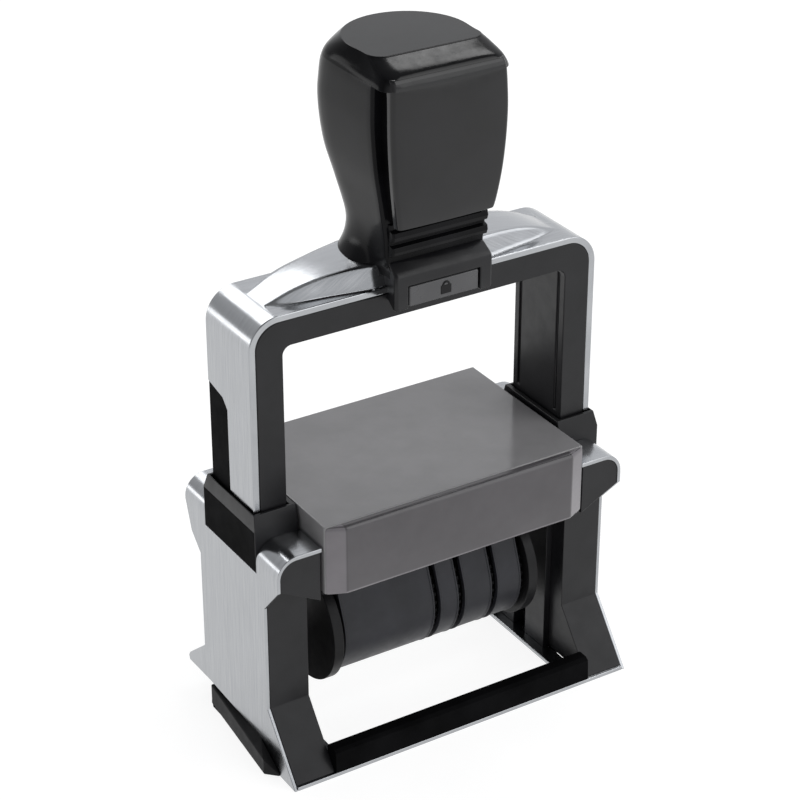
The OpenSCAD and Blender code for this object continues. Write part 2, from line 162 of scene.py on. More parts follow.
def spline(keys, value):
    """A smooth curve through (position, value) keys, by Catmull-Rom."""
    if value <= keys[0][0]:
        return keys[0][1]
    if value >= keys[-1][0]:
        return keys[-1][1]
    i = max(k for k in range(len(keys) - 1) if keys[k][0] <= value)
    (x0, y0), (x1, y1) = keys[i], keys[i + 1]
    before, after = keys[max(i - 1, 0)], keys[min(i + 2, len(keys) - 1)]
    slope0 = (y1 - before[1]) / (x1 - before[0])
    slope1 = (after[1] - y0) / (after[0] - x0)
    t, w = (value - x0) / (x1 - x0), x1 - x0
    return ((2 * t ** 3 - 3 * t ** 2 + 1) * y0 + (t ** 3 - 2 * t ** 2 + t) * w * slope0
            + (3 * t ** 2 - 2 * t ** 3) * y1 + (t ** 3 - t ** 2) * w * slope1)


# ---------------------------------------------------------------- materials

class Nodes:
    """Short calls for building a material's node tree."""

    def __init__(self, material):
        self.material = material
        self.material.use_nodes = True
        self.tree = self.material.node_tree
        self.shader = self.tree.nodes["Principled BSDF"]
        self.coords = self.add("ShaderNodeTexCoord").outputs

    def add(self, kind, **settings):
        node = self.tree.nodes.new(kind)
        for key, value in settings.items():
            setattr(node, key, value)
        return node

    def link(self, output, target):
        self.tree.links.new(output, target)

    def set(self, **values):
        for key, value in values.items():
            self.shader.inputs[key.replace("_", " ")].default_value = value

    def noise(self, size, detail=3.0, stretch=(1, 1, 1), roughness=0.55):
        """Noise with features of that size in millimetres, drawn out along the larger stretches."""
        mapping = self.add("ShaderNodeMapping")
        mapping.inputs["Scale"].default_value = [1 / (size * MM * s) for s in stretch]
        self.link(self.coords["Object"], mapping.inputs["Vector"])
        noise = self.add("ShaderNodeTexNoise")
        noise.inputs["Scale"].default_value = 1.0
        noise.inputs["Detail"].default_value = detail
        noise.inputs["Roughness"].default_value = roughness
        self.link(mapping.outputs["Vector"], noise.inputs["Vector"])
        return noise.outputs["Fac"]

    def ramp(self, source, low, high, from_min=0.35, from_max=0.65):
        """Maps a value to a range."""
        node = self.add("ShaderNodeMapRange")
        node.inputs["From Min"].default_value = from_min
        node.inputs["From Max"].default_value = from_max
        node.inputs["To Min"].default_value = low
        node.inputs["To Max"].default_value = high
        self.link(source, node.inputs["Value"])
        return node.outputs["Result"]

    def tint(self, source, dark, light):
        """Blends two colours by a value."""
        node = self.add("ShaderNodeMix", data_type="RGBA")
        node.inputs["A"].default_value = (*dark, 1)
        node.inputs["B"].default_value = (*light, 1)
        self.link(self.ramp(source, 0.0, 1.0), node.inputs["Factor"])
        return node.outputs["Result"]

    def bump(self, source, depth, strength=1.0, after=None):
        """Bump of that depth in millimetres."""
        node = self.add("ShaderNodeBump")
        node.inputs["Distance"].default_value = depth * MM
        node.inputs["Strength"].default_value = strength
        self.link(source, node.inputs["Height"])
        if after is not None:
            self.link(after, node.inputs["Normal"])
        return node.outputs["Normal"]

    def split(self, vector):
        """The X, Y and Z of a vector."""
        node = self.add("ShaderNodeSeparateXYZ")
        self.link(vector, node.inputs["Vector"])
        return node.outputs

    def larger(self, first, second):
        """The larger of two values."""
        node = self.add("ShaderNodeMath", operation="MAXIMUM")
        self.link(first, node.inputs[0])
        self.link(second, node.inputs[1])
        return node.outputs["Value"]


def plastic(name, dark, light, rough, grain, depth, shine=0.5, sheen=0.0):
    """Moulded plastic: slow colour changes, a fine grain in the surface, and hazy patches of wear."""
    n = Nodes(bpy.data.materials.new(name))
    slow = n.noise(9.0, 4.0)
    fine = n.noise(grain, 2.0)
    n.link(n.tint(slow, dark, light), n.shader.inputs["Base Color"])
    haze = n.noise(3.5, 5.0, roughness=0.65)
    n.link(n.ramp(haze, rough - 0.05, rough + 0.06), n.shader.inputs["Roughness"])
    n.link(n.bump(fine, depth, after=n.bump(slow, depth * 2, 0.4)), n.shader.inputs["Normal"])
    n.set(Specular_IOR_Level=shine, Sheen_Weight=sheen)
    return n.material


def painted_reflection_by_facing(material, side, top, front):
    """Shine that follows the way a face points: a painted reflection, stronger on faces that look up or to
    the front and weaker on the sides.
    """
    n = Nodes(material)
    normal = n.split(n.coords["Normal"])
    upwards = n.ramp(normal["Z"], side, top, 0.62, 0.85)
    forwards = n.ramp(normal["Y"], front, side, -0.75, -0.45)
    n.link(n.larger(upwards, forwards), n.shader.inputs["Specular IOR Level"])


def paint_end_highlights(material, beyond_x, below_z, factor):
    """Paints a smoky plastic lighter towards its two ends and its foot: a painted highlight where those faces
    catch the light.
    """
    n = Nodes(material)
    soft = 0.3 * MM
    place = n.split(n.coords["Object"])
    across = n.add("ShaderNodeMath", operation="ABSOLUTE")
    n.link(place["X"], across.inputs[0])
    # thin marks the two ends and the foot, where the painted highlight goes
    thin = n.larger(n.ramp(across.outputs["Value"], 0.0, 1.0, beyond_x, beyond_x + soft),
                    n.ramp(place["Z"], 1.0, 0.0, below_z - soft, below_z))
    colour = n.shader.inputs["Base Color"].links[0].from_socket
    lighter = n.add("ShaderNodeVectorMath", operation="SCALE")
    n.link(colour, lighter.inputs[0])
    lighter.inputs["Scale"].default_value = factor
    mix = n.add("ShaderNodeMix", data_type="RGBA")
    n.link(thin, mix.inputs["Factor"])
    n.link(colour, mix.inputs["A"])
    n.link(lighter.outputs["Vector"], mix.inputs["B"])
    n.link(mix.outputs["Result"], n.shader.inputs["Base Color"])


def brushed_metal(name, dark, light, rough, depth):
    """Satin metal with a fine grain drawn out along Z on the sides and along X on top."""
    n = Nodes(bpy.data.materials.new(name))
    streaks = n.noise(0.16, 3.0, stretch=(60, 1, 60))
    patches = n.noise(7.0, 4.0)
    n.link(n.tint(streaks, dark, light), n.shader.inputs["Base Color"])
    n.link(n.ramp(patches, rough - 0.04, rough + 0.05), n.shader.inputs["Roughness"])
    n.link(n.bump(streaks, depth, 0.5), n.shader.inputs["Normal"])
    n.set(Metallic=1.0)
    return n.material


def felt(name, dark, light):
    """Ink-soaked felt: short fibres."""
    n = Nodes(bpy.data.materials.new(name))
    fibres = n.noise(0.35, 6.0, stretch=(3, 1, 1), roughness=0.75)
    n.link(n.tint(fibres, dark, light), n.shader.inputs["Base Color"])
    n.link(n.bump(fibres, 0.12), n.shader.inputs["Normal"])
    n.set(Roughness=0.85, Sheen_Weight=0.3)
    return n.material


# colours are dark and light, then the roughness, the grain's size and depth in millimetres, and the shine
SILVER = brushed_metal("brushed_silver", (0.365, 0.375, 0.39), (0.425, 0.435, 0.45), 0.19, 0.006)
STEEL = brushed_metal("steel", (0.42, 0.42, 0.43), (0.60, 0.60, 0.61), 0.28, 0.012)
SHELL = plastic("black_shell", (0.006, 0.006, 0.007), (0.010, 0.010, 0.0115), 0.36, 0.28, 0.008, 0.32)
GLOSS_COLOURS = (0.0035, 0.0035, 0.004), (0.006, 0.006, 0.007)
GRIP = plastic("gloss_grip", *GLOSS_COLOURS, 0.20, 0.6, 0.0015, 0.10)
CAP = plastic("gloss_cap", *GLOSS_COLOURS, 0.15, 0.6, 0.0015)
# painted reflection on the cap: weak shine on the sides, more on top, most in front
painted_reflection_by_facing(CAP, 0.05, 0.16, 0.40)
PANEL = plastic("gloss_panel", *GLOSS_COLOURS, 0.14, 0.6, 0.0015, 0.42)
FOOT = plastic("rubber_foot", (0.008, 0.008, 0.0085), (0.016, 0.016, 0.017), 0.62, 0.20, 0.020, 0.12, 0.05)
SMOKE = plastic("smoke_housing", (0.215, 0.212, 0.216), (0.24, 0.236, 0.241), 0.14, 0.8, 0.001)
CASSETTE = plastic("smoke_cassette", (0.063, 0.059, 0.0635), (0.0745, 0.0695, 0.075), 0.16, 0.8, 0.001)
# painted highlight on the cassette plate's slanted ends and along its foot
paint_end_highlights(CASSETTE, 28.4 * MM, 44.5 * MM, 2.2)
FELT = felt("ink_felt", (0.012, 0.012, 0.04), (0.03, 0.03, 0.09))
BUTTON = plastic("button_grey", (0.055, 0.055, 0.058), (0.070, 0.070, 0.073), 0.30, 0.3, 0.004)
CARRIER = plastic("carrier_black", (0.005, 0.005, 0.0055), (0.009, 0.009, 0.010), 0.42, 0.3, 0.008, 0.2)
# near-black with almost no shine: painted shade for the front bar, the panel's core and the plates in the
# recesses
SHADE_BLACK = plastic("painted_shade_black", (0.002, 0.002, 0.0022), (0.0045, 0.0045, 0.005), 0.60, 0.3, 0.010, 0.02)
RUBBER = plastic("band_rubber", (0.013, 0.0135, 0.017), (0.020, 0.0205, 0.026), 0.46, 0.22, 0.010, 0.34)
WHEEL = plastic("wheel_black", (0.003, 0.003, 0.0035), (0.006, 0.006, 0.007), 0.45, 0.3, 0.008, 0.06)
SLOTS = {"brushed_silver": SILVER, "steel": STEEL, "black_shell": SHELL, "gloss_grip": GRIP,
         "rubber_foot": FOOT, "smoke_housing": SMOKE, "smoke_cassette": CASSETTE, "ink_felt": FELT,
         "button_grey": BUTTON, "carrier_black": CARRIER, "band_rubber": RUBBER, "wheel_black": WHEEL}


# ---------------------------------------------------------------- CAD nodes that stay

def finish_node(name, width, slot):
    """Gives a CAD node its material and soft edges; flat faces are merged first, so only real edges round."""
    node = nodes[name]
    if node.data.has_custom_normals:
        with bpy.context.temp_override(object=node, active_object=node, selected_objects=[node]):
            bpy.ops.mesh.customdata_custom_splitnormals_clear()
    node.data.materials.clear()
    node.data.materials.append(SLOTS[slot])
    node.data.shade_smooth()
    weld = node.modifiers.new("Weld", "WELD")
    weld.merge_threshold = 0.002 * MM
    flat = node.modifiers.new("Flat", "DECIMATE")
    flat.decimate_type = "DISSOLVE"
    flat.angle_limit = math.radians(0.8)
    round_edges(node, width, angle=32, segments=2)


EDGE_WIDTHS = {"left_cheek": 0.2, "right_cheek": 0.2, "frame_liner": 0.25, "pad_housing": 0.35,
               "cassette_front": 0.4, "left_foot": 0.3, "right_foot": 0.3}
for part in frame["record"]["subparts"]:
    finish_node(part["node"], EDGE_WIDTHS.get(part["node"], 0.15), part["material_slot"])
# painted shade: the front bar sits in shadow, so it gets the near-black shade material
nodes["front_bar"].data.materials[0] = SHADE_BLACK


# ---------------------------------------------------------------- sliding frame

# the shell's side cut-out: height and depth where its front edge turns, and the height of its top
CUT_OUT = [(80.2, 1.2), (82.3, 3.2)]
CUT_OUT_TOP = 83.6


def frame_skin():
    """The metal shell: an arch over the legs, whose top swells into a flat crown with steep sides."""
    low, high = span("frame_shell")
    half_w, half_d = high.x, high.y
    inner = span("frame_liner")[1]
    shell_top = inner.z + 1.5
    outer_r, inner_r = 7.0, 5.4
    tip = half_w - outer_r
    columns = 35
    # the roof at distances from the middle, level within the first one, which the grip hides:
    # depth of the crown's edge, depth of the foot of its steep side, and its height
    edge_keys = [(12, 7.5), (15, 6.9), (18, 6.4), (21, 5.9), (24, 5.5), (27, 5.2), (30, 4.8), (33, 4.2),
                 (tip, 3.4)]
    foot_keys = [(12, 8.75), (15, 8.1), (18, 7.55), (21, 7.0), (24, 6.5), (27, 6.1), (30, 5.6), (33, 4.9),
                 (tip, 4.0)]
    lift_keys = [(12, 4.5), (15, 4.35), (18, 4.15), (21, 3.85), (24, 3.45), (27, 2.9), (30, 2.1), (33, 1.0),
                 (tip, 0)]

    def outer_path():
        legs = [low.z, 45, 55, 65, 75] + [z for z, _ in CUT_OUT] + [CUT_OUT_TOP, 90, shell_top - outer_r]
        left = [(-half_w, z) for z in legs] + arc(-tip, shell_top - outer_r, outer_r, 180, 90, 14)[1:]
        top = [(-tip + 2 * tip * i / 56, shell_top) for i in range(1, 56)]
        return left + top + [(-x, z) for x, z in reversed(left)]

    def inner_point(x, z):
        if z <= shell_top - outer_r:
            return math.copysign(inner.x, x), z
        if abs(x) <= tip:
            return x, inner.z
        share = inner_r / outer_r
        return (math.copysign(tip + (abs(x) - tip) * share - (tip + inner_r - inner.x), x),
                inner.z - inner_r + (z - shell_top + outer_r) * share)

    def back_edge(z):
        if z >= CUT_OUT_TOP:
            return half_d
        return spline(CUT_OUT + [(CUT_OUT_TOP, half_d)], z)

    def columns_at(x, z):
        """Depth and height of each column of points across the shell."""
        if z < shell_top - 0.001 or abs(x) > tip:
            back = back_edge(z)
            even = [i / 17 - 1 for i in range(columns)]
            return [((t + 1) / 2 * (back + half_d) - half_d, 0.0) for t in even]
        foot, edge, lift = (spline(keys, max(abs(x), 12)) for keys in (foot_keys, edge_keys, lift_keys))
        peak = lift * 1.05
        step = (foot - edge) / 4

        def height(y):
            if y < edge:
                return lift + (peak - lift) * (1 - (y / edge) ** 2)
            return lift * (foot - y) / (foot - edge) if y < foot else 0.0

        def soft_height(y):
            return sum(height(abs(y + d * step)) for d in (-1, -0.5, 0, 0.5, 1)) / 5 if y > 0 else peak

        near_edge = [edge - step, edge - step / 2, edge, edge + step / 2, edge + step]
        near_foot = [foot - step, foot - step / 2, foot, foot + step / 2, foot + step]
        depths = ([edge * k / 5 for k in range(5)] + near_edge + [(foot + edge) / 2] + near_foot
                  + [(foot + half_d) / 2, half_d])
        half = [(y, soft_height(y)) for y in depths]
        return [(-y, h) for y, h in reversed(half[1:])] + half

    path = outer_path()
    outside, inside = [], []
    for x, z in path:
        ix, iz = inner_point(x, z)
        for y, lift in columns_at(x, z):
            outside.append((x, y, z + lift))
            inside.append((ix, y, iz))
    n = len(outside)
    faces = []
    for i in range(len(path) - 1):
        for k in range(columns - 1):
            a, b = i * columns + k, (i + 1) * columns + k
            faces += [(a, b, b + 1, a + 1), (n + a, n + a + 1, n + b + 1, n + b)]
        for k in (0, columns - 1):
            a, b = i * columns + k, (i + 1) * columns + k
            faces.append((a, b, n + b, n + a))
    for i in (0, len(path) - 1):
        for k in range(columns - 1):
            a = i * columns + k
            faces.append((a, a + 1, n + a + 1, n + a))
    skin = make("frame_skin", outside + inside, faces, SILVER, "frame", ["frame_shell"], "brushed_silver")
    round_edges(skin, 0.3, angle=55)


# ---------------------------------------------------------------- grip

# height, half width, back, where the round back begins, roundness, half width in front
GRIP_KEYS = [
    (106.0, 15.3, 11.5, -2.0, 2.3, 10.5),
    (108.4, 15.1, 11.4, -2.0, 2.3, 10.6),
    (109.0, 14.7, 11.25, -1.9, 2.3, 10.8),
    (109.8, 14.0, 11.0, -1.7, 2.35, 11.2),
    (111.0, 13.2, 10.75, -1.4, 2.4, 11.6),
    (112.5, 12.6, 10.5, -1.1, 2.45, 11.9),
    (114.5, 12.25, 10.35, -0.8, 2.5, 12.05),
    (117, 12.3, 10.6, -0.4, 2.6, 12.25),
    (124, 13.3, 12.8, 2.2, 2.7, 13.3),
    (131, 14.4, 15.0, 4.6, 2.8, 14.4),
    (140, 15.1, 15.6, 5.4, 2.9, 15.1),
    (146, 15.1, 15.1, 4.7, 2.8, 15.1),
    (148.5, 15.05, 14.8, 4.0, 2.7, 15.0),
    (150, 14.9, 14.4, 3.2, 2.6, 14.7),
    (151, 14.65, 14.0, 2.4, 2.5, 14.3),
    (152, 14.3, 13.55, 1.4, 2.35, 13.9),
    (153.2, 13.75, 13.0, 0.1, 2.15, 13.4),
    (154.0, 13.3, 12.6, -0.7, 2.0, 13.0),
]

# height and depth of the panel's middle, and the heights near its top, where it bends back under the cap
PANEL_FRONT = [(117.6, -16.0), (122, -16.8), (130, -17.4), (140, -17.6), (146, -17.4), (149, -17.02),
               (150, -16.78), (150.6, -16.54), (151.1, -16.22), (151.5, -15.86), (151.85, -15.42)]
PANEL_BEND = [149.2, 149.6, 150, 150.3, 150.6, 150.8, 151, 151.15, 151.3]


def grip_ring(z, front, corner):
    """The grip's outline at a height: flat in front with small corners, swelling to its waist, and a
    superellipse behind it."""
    half_w, back, waist, power, front_w = (spline([(key[0], key[k]) for key in GRIP_KEYS], z)
                                           for k in range(1, 6))
    start = front + corner
    right = [(t * (front_w - corner), front) for t in (0, 0.35, 0.7)]
    right += arc(front_w - corner, start, corner, -90, 0, 6)
    for i in range(1, 10):
        t = max(i / 10 - 0.2, 0) / 0.8
        swell = 3 * t * t - 2 * t ** 3
        right.append((front_w + (half_w - front_w) * swell, start + (waist - start) * i / 10))
    for i in range(17):
        turn = math.radians(90 * i / 16)
        right.append((half_w * max(math.cos(turn), 0) ** (2 / power),
                      waist + (back - waist) * math.sin(turn) ** (2 / power)))
    return [(x, y, z) for x, y in mirrored(right)]


def grip_shell():
    """The grip's back and sides, which flow down into the neck and spread over the roof."""
    low, neck, high = 106.6, 117, 150.2
    foot = [low, 107.4, 108.2, 108.6, 109.0, 109.4, 109.8, 110.3, 110.9, 111.6, 112.5, 113.5, 114.6, 115.8]
    rings = [grip_ring(z, -12.0, 0.7) for z in foot + [neck + (high - neck) * i / 40 for i in range(41)]]
    shell = make("grip_shell", *loft(rings), GRIP, "frame", ["handle_body"], "gloss_grip")
    round_edges(shell, 0.25, angle=50)


def grip_panel():
    """The front panel: a crowned plate with round edges on a recessed core, up to the cap; the core is in the
    near-black shade material, painted shade for the gap behind the plate.
    """
    width = [(118, 11.2), (122, 12.0), (130, 13.1), (140, 13.7), (149, 13.5), (151.5, 13.2)]
    low, top, edge_r, core_back = 119.4, 151.4, 1.0, -11.5
    plate, core = [], []
    for z in [low + 29 * i / 32 for i in range(33)] + [148.8] + PANEL_BEND + [top]:
        half_w, y = spline(width, z), spline(PANEL_FRONT, z)
        crown = 0.25 * min(max((150 - z) / 4, 0), 1)
        y += 0.4 if z == top else 0.0
        right = [(half_w, y + 2.4)] + arc(half_w - edge_r, y + crown + edge_r, edge_r, 0, -90, 8)
        right += [(half_w * t, y + crown * t * t) for t in (0.8, 0.6, 0.4, 0.2, 0)]
        plate.append([(x, fy, z) for x, fy in right + [(-x, fy) for x, fy in reversed(right[:-1])]])
        side, front = half_w - 0.8, y + 1.4
        core.append([(side, core_back, z), (side, front, z), (-side, front, z), (-side, core_back, z)])
    panel = make("grip_panel", *loft(plate), PANEL, "frame", ["handle_panel"], "gloss_grip")
    round_edges(panel, 0.3, angle=50)
    # painted shade: the core stands for the dark gap behind the plate
    make("panel_core", *loft(core), SHADE_BLACK, "frame", (), "gloss_grip", smooth=False)


def grip_cap():
    """The top: a flat D with a broad chamfer round it, which falls away to the front in a soft slope."""
    # height, depth of the front, corner radius
    keys = [(z, spline(PANEL_FRONT, z) + 0.04, 3.0) for z in PANEL_BEND]
    keys += [(151.5, -15.84, 3.1), (151.85, -15.40, 3.3), (152.2, -14.70, 3.4), (152.6, -13.60, 3.4),
             (153.0, -12.40, 3.2), (153.4, -11.10, 3.0), (153.8, -9.95, 3.0), (154.0, -9.75, 3.0)]
    rings = [grip_ring(*key) for key in keys]
    cap = make("grip_cap", *loft(rings), CAP, "frame", ["handle_cap"], "gloss_grip")
    round_edges(cap, 0.12, angle=22)


def neck_ribs():
    """Ribs across the front of the neck, between the panel and the saddle."""
    profile = [(-11.0, 119.5), (-12.6, 119.4), (-12.7, 118.3), (-13.8, 118.0), (-14.1, 117.1), (-13.8, 116.1),
               (-12.7, 115.8), (-12.7, 115.0), (-13.8, 114.7), (-14.0, 113.8), (-13.7, 112.9), (-12.4, 112.4),
               (-12.2, 111.2), (-12.2, 110.2), (-11.0, 109.4)]
    half_w, end_step = 11.5, 0.4
    rings = []
    for t in (-1, -0.97, -0.8, -0.4, 0, 0.4, 0.8, 0.97, 1):
        rings.append([(t * half_w, y + (end_step if abs(t) == 1 else 0), z) for y, z in profile])
    ribs = make("neck_ribs", *loft(rings), GRIP, "frame", (), "gloss_grip")
    round_edges(ribs, 0.12, angle=30)


def saddle_block():
    """The block that wraps over the crossbar: waisted over the roof, with the lock button's pocket."""
    low = span("saddle")[0].z
    # height, depth of the front, half width in front
    keys = [(low, -15.2, 11.6), (low + 0.4, -15.4, 11.9), (105.0, -15.4, 11.9), (105.8, -15.4, 11.9),
            (108.5, -15.4, 11.8), (108.95, -15.1, 11.7), (109.6, -14.3, 11.6), (110.3, -13.3, 11.5),
            (110.9, -12.4, 11.4)]
    rings = []
    for z, front, half_w in keys:
        back = 12.0 if z <= 105.0 else 4.0
        right = [(0, front), (half_w - 0.6, front), (half_w, front + 0.6), (10.0, -9.5), (10.4, -5.5),
                 (10.4, back - 3.4), (10.6, back - 2.0), (half_w - 0.2, back - 0.6), (half_w - 0.8, back),
                 (0, back)]
        rings.append([(x, y, z) for x, y in mirrored(right)])
    block = make("saddle_block", *loft(rings), SHELL, "frame", ["saddle"], "black_shell")
    button_low, button_high = span("lock_button")
    gap = 0.3
    cut(block, *box_points(button_low.x - gap, button_high.x + gap, button_low.y - 2, button_high.y + 1.5,
                           low - 2, button_high.z + gap))
    round_edges(block, 0.3, angle=34)


# ---------------------------------------------------------------- lock button

def lock_button():
    """A grey push button with a small padlock sign on it."""
    low, high = span("lock_button")
    body = make("lock_button_cap", *box_points(low.x, high.x, low.y, high.y, low.z, high.z), BUTTON, "lock",
                ["lock_button"], "button_grey")
    round_edges(body, 0.45, angle=40, segments=4)
    middle = (low.x + high.x) / 2 + 0.4
    base, wide, tall, proud = low.z + 1.0, 2.5, 1.9, 0.12
    plate = [(middle - wide / 2, base), (middle + wide / 2, base),
             (middle + wide / 2, base + tall), (middle - wide / 2, base + tall)]
    rings = [[(x, y, z) for x, z in plate] for y in (low.y + 0.3, low.y - proud)]
    sign = make("lock_sign", *loft(rings), CARRIER, "lock", (), "carrier_black")
    round_edges(sign, 0.08, angle=40)
    bow_r, thick = 0.75, 0.22
    rings = []
    for i in range(15):
        turn = math.radians(180 * i / 14)
        cx, cz = middle + bow_r * math.cos(turn), base + tall - 0.1 + bow_r * 1.1 * math.sin(turn)
        rings.append([(cx + out * math.cos(turn), low.y - proud / 2 + across * 0.6, cz + out * math.sin(turn))
                      for out, across in circle(0, 0, thick, 8)])
    make("lock_sign_bow", *loft(rings), CARRIER, "lock", (), "carrier_black")


# ---------------------------------------------------------------- ink cassette and painted shade in recesses

def cassette_plate():
    """The cassette's front: a smoky plate with slanted ends and soft edges."""
    low, high = span("cassette_front")
    top = span("pad_housing")[1].z
    back, front, flat = -21.03, low.y, 28.3
    # height, and how far the outline is drawn in there
    keys = [(low.z, 0.5), (low.z + 0.25, 0.12), (low.z + 0.6, 0.0), (top - 1.3, 0.0), (top - 0.75, 0.12),
            (top - 0.35, 0.45), (top - 0.1, 0.95)]
    rings = []
    for z, inset in keys:
        end, bend = high.x - inset * 0.6, flat - inset * 0.3
        rings.append([(-end, back, z), (-bend, front + inset, z), (bend, front + inset, z), (end, back, z)])
    plate = make("cassette_plate", *loft(rings), CASSETTE, "cassette", ["cassette_front"], "smoke_cassette")
    round_edges(plate, 0.25, angle=20)


def shade_plate(name, body, x, depth, outline):
    """A near-black plate on both sides, painted shade for a shallow recess; the outline is in Y and Z."""
    for sign, side in ((-1, "left"), (1, "right")):
        rings = [[(sign * (x + t), y, z) for y, z in outline] for t in (-depth, 0.04)]
        make(f"{name}_{side}", *loft(rings), SHADE_BLACK, body, (), "black_shell", smooth=False)


def shade_plates():
    """Painted shade in the legs' cut-outs, on the wells' inner edges beside the bottom plate, and on the
    collars' faces.
    """
    leg_low = 33.2
    shade_plate("leg_shade", "frame", span("frame_shell")[1].x - 0.25, 1.6,
               [(1.3, leg_low), (1.3, 80.2), (2.2, 81.4), (3.2, 82.3), (5.8, 83.1), (9.1, 83.5),
                (9.1, leg_low)])
    shade_plate("well_shade", "base", span("frame_liner")[1].x - 6.0, 1.8,
               [(-12.5, 0.1), (-12.5, 0.85), (12.5, 0.85), (12.5, 0.1)])
    low, high = span("left_collar")
    front, back, bottom, top = low.y + 0.25, high.y - 0.25, 47.7, high.z - 3.45
    shade_plate("collar_shade", "base", -low.x, 0.3,
               [(front, bottom), (front, top), (back, top), (back, bottom)])


# ---------------------------------------------------------------- springs

def spring(side):
    """A return spring of round wire, with closed end coils."""
    low, high = span(side + "_spring")
    x, y = (low.x + high.x) / 2, (low.y + high.y) / 2
    wire, turns, closed_turns, steps = 0.3, 22, 1.25, 20
    radius = (high.x - low.x) / 2 - wire
    count, closed = turns * steps, closed_turns * steps
    pitch = (high.z - low.z - 2 * wire - 2 * closed_turns * 2 * wire) / (count - 2 * closed)
    rings, z = [], low.z + wire
    for i in range(count + 1):
        turn = math.tau * i / steps
        rings.append([(x + r * math.cos(turn), y + r * math.sin(turn), z + up)
                      for r, up in circle(radius, 0, wire, 8)])
        z += 2 * wire / steps if i < closed or i >= count - closed else pitch
    coil = make(side + "_coil", *loft(rings), STEEL, "base", [side + "_spring"], "steel")
    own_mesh(coil)


# ---------------------------------------------------------------- bands, type and wheels

WHEEL_Z = sum(corner.z / 2 for corner in span("wheel_shaft"))


def band_path(node):
    """The outer outline of a band as (y, z) points from the middle of the print line round the back,
    and the length along it at each."""
    low, high = span(node)
    round_r = WHEEL_Z - low.z
    edge_r, edge_y = 1.6, 4.0
    cloud = arc(0, WHEEL_Z, round_r, 0, 360, 160)[:-1]
    for side in (-1, 1):
        cloud += arc(side * edge_y, high.z - edge_r, edge_r, 0, 360, 48)[:-1]
    cloud = [Vector(p) for p in cloud]
    hull = [cloud[i] for i in convex_hull_2d(cloud)]
    if sum(a.cross(b) for a, b in zip(hull, hull[1:] + hull[:1])) > 0:
        hull.reverse()
    first = Vector((0, high.z))
    start = min(range(len(hull)), key=lambda i: (hull[i] - first).length)
    hull = hull[start:] + hull[:start]
    loop = [first] + [p for p in hull if not (abs(p.x) < edge_y and p.y > high.z - 0.01)] + [first]
    lengths = [0]
    for a, b in zip(loop, loop[1:]):
        lengths.append(lengths[-1] + (b - a).length)
    return loop, lengths


def on_path(path, distance):
    """The point and the outward direction at a distance along a band's outline."""
    loop, lengths = path
    distance %= lengths[-1]
    i = max(k for k in range(len(lengths) - 1) if lengths[k] <= distance)
    a, b = loop[i], loop[i + 1]
    along = (b - a).normalized()
    return a + along * (distance - lengths[i]), Vector((-along.y, along.x))


def band(name):
    """A print band: a rubber loop with a thin raised rim on both sides. Returns its outline."""
    low, high = span(name)
    path = band_path(name)
    total, thick, rim, rim_h, steps = path[1][-1], 1.2, 0.35, 0.12, 150
    profile = [(low.x, -thick), (low.x, 0), (low.x + rim, 0), (low.x + rim * 1.4, -rim_h),
               (high.x - rim * 1.4, -rim_h), (high.x - rim, 0), (high.x, 0), (high.x, -thick)]
    rings = []
    for i in range(steps):
        point, outward = on_path(path, total * i / steps)
        rings.append([(x, point.x + outward.x * h, point.y + outward.y * h) for x, h in profile])
    loop = make(name + "_loop", *loft(rings, closed=True), RUBBER, "carrier", [name], "band_rubber")
    round_edges(loop, 0.1, angle=40, segments=2)
    return path


def type_block(name, path, characters, middle, size):
    """Raised mirrored characters on a band, one row of them at each step round the back."""
    pitch = 5.6
    points, faces = [], []
    for i, text in enumerate(characters):
        curve = bpy.data.curves.new("type", "FONT")
        curve.body, curve.size, curve.extrude = text, size, 0.25
        curve.align_x, curve.align_y = "CENTER", "CENTER"
        curve.resolution_u = 2
        letter = new_object("type", curve)
        mesh = baked_mesh(letter)
        start = len(points)
        for vertex in mesh.vertices:
            u, v, w = vertex.co
            point, outward = on_path(path, -pitch + pitch * i + v)
            points.append((middle - u, point.x + outward.x * w, point.y + outward.y * w))
        faces += [tuple(start + k for k in polygon.vertices) for polygon in mesh.polygons]
        bpy.data.objects.remove(letter)
        bpy.data.curves.remove(curve)
    make(name + "_type", points, faces, RUBBER, "carrier", (), "band_rubber", smooth=False)


def dating_bands():
    """The day, month and year bands with generic numbers on them."""
    settings = (("day", 3.6, "{}", 1), ("month", 3.8, "{:02d}", 1), ("year", 3.8, "{}", 21))
    for name, size, form, first in settings:
        low, high = span(name + "_band")
        characters = [form.format(first + i) for i in range(9)]
        type_block(name, band(name + "_band"), characters, (low.x + high.x) / 2, size)


def setting_wheel(name, body):
    """A wheel inside a band: a drum, and a notched rim that fingers turn."""
    low, high = span(name)
    rim_r, rim_t, notch, teeth = (high.z - low.z) / 2, 0.9, 0.45, 40
    drum_r, bore_r, dish_r, dish_depth = rim_r - 0.9, 2.05, 6.0, 0.5
    count = teeth * 4
    notched = []
    for i in range(count):
        radius = rim_r if i % 4 in (0, 1) else rim_r - notch
        turn = math.tau * (i + 0.5 * (i % 2)) / count
        notched.append((radius * math.cos(turn), radius * math.sin(turn)))
    bore, drum, dish, dish_floor = (circle(0, 0, r, count) for r in (bore_r, drum_r, dish_r, dish_r - 0.4))
    outlines = [(low.x, bore), (low.x, drum), (high.x - rim_t, drum), (high.x - rim_t, notched),
                (high.x, notched), (high.x, dish), (high.x - dish_depth, dish_floor),
                (high.x - dish_depth, bore)]
    rings = [[(x, y, WHEEL_Z + z) for y, z in outline] for x, outline in outlines]
    make(name + "_disc", *loft(rings, closed=True), WHEEL, body, [name], "wheel_black", smooth=False)


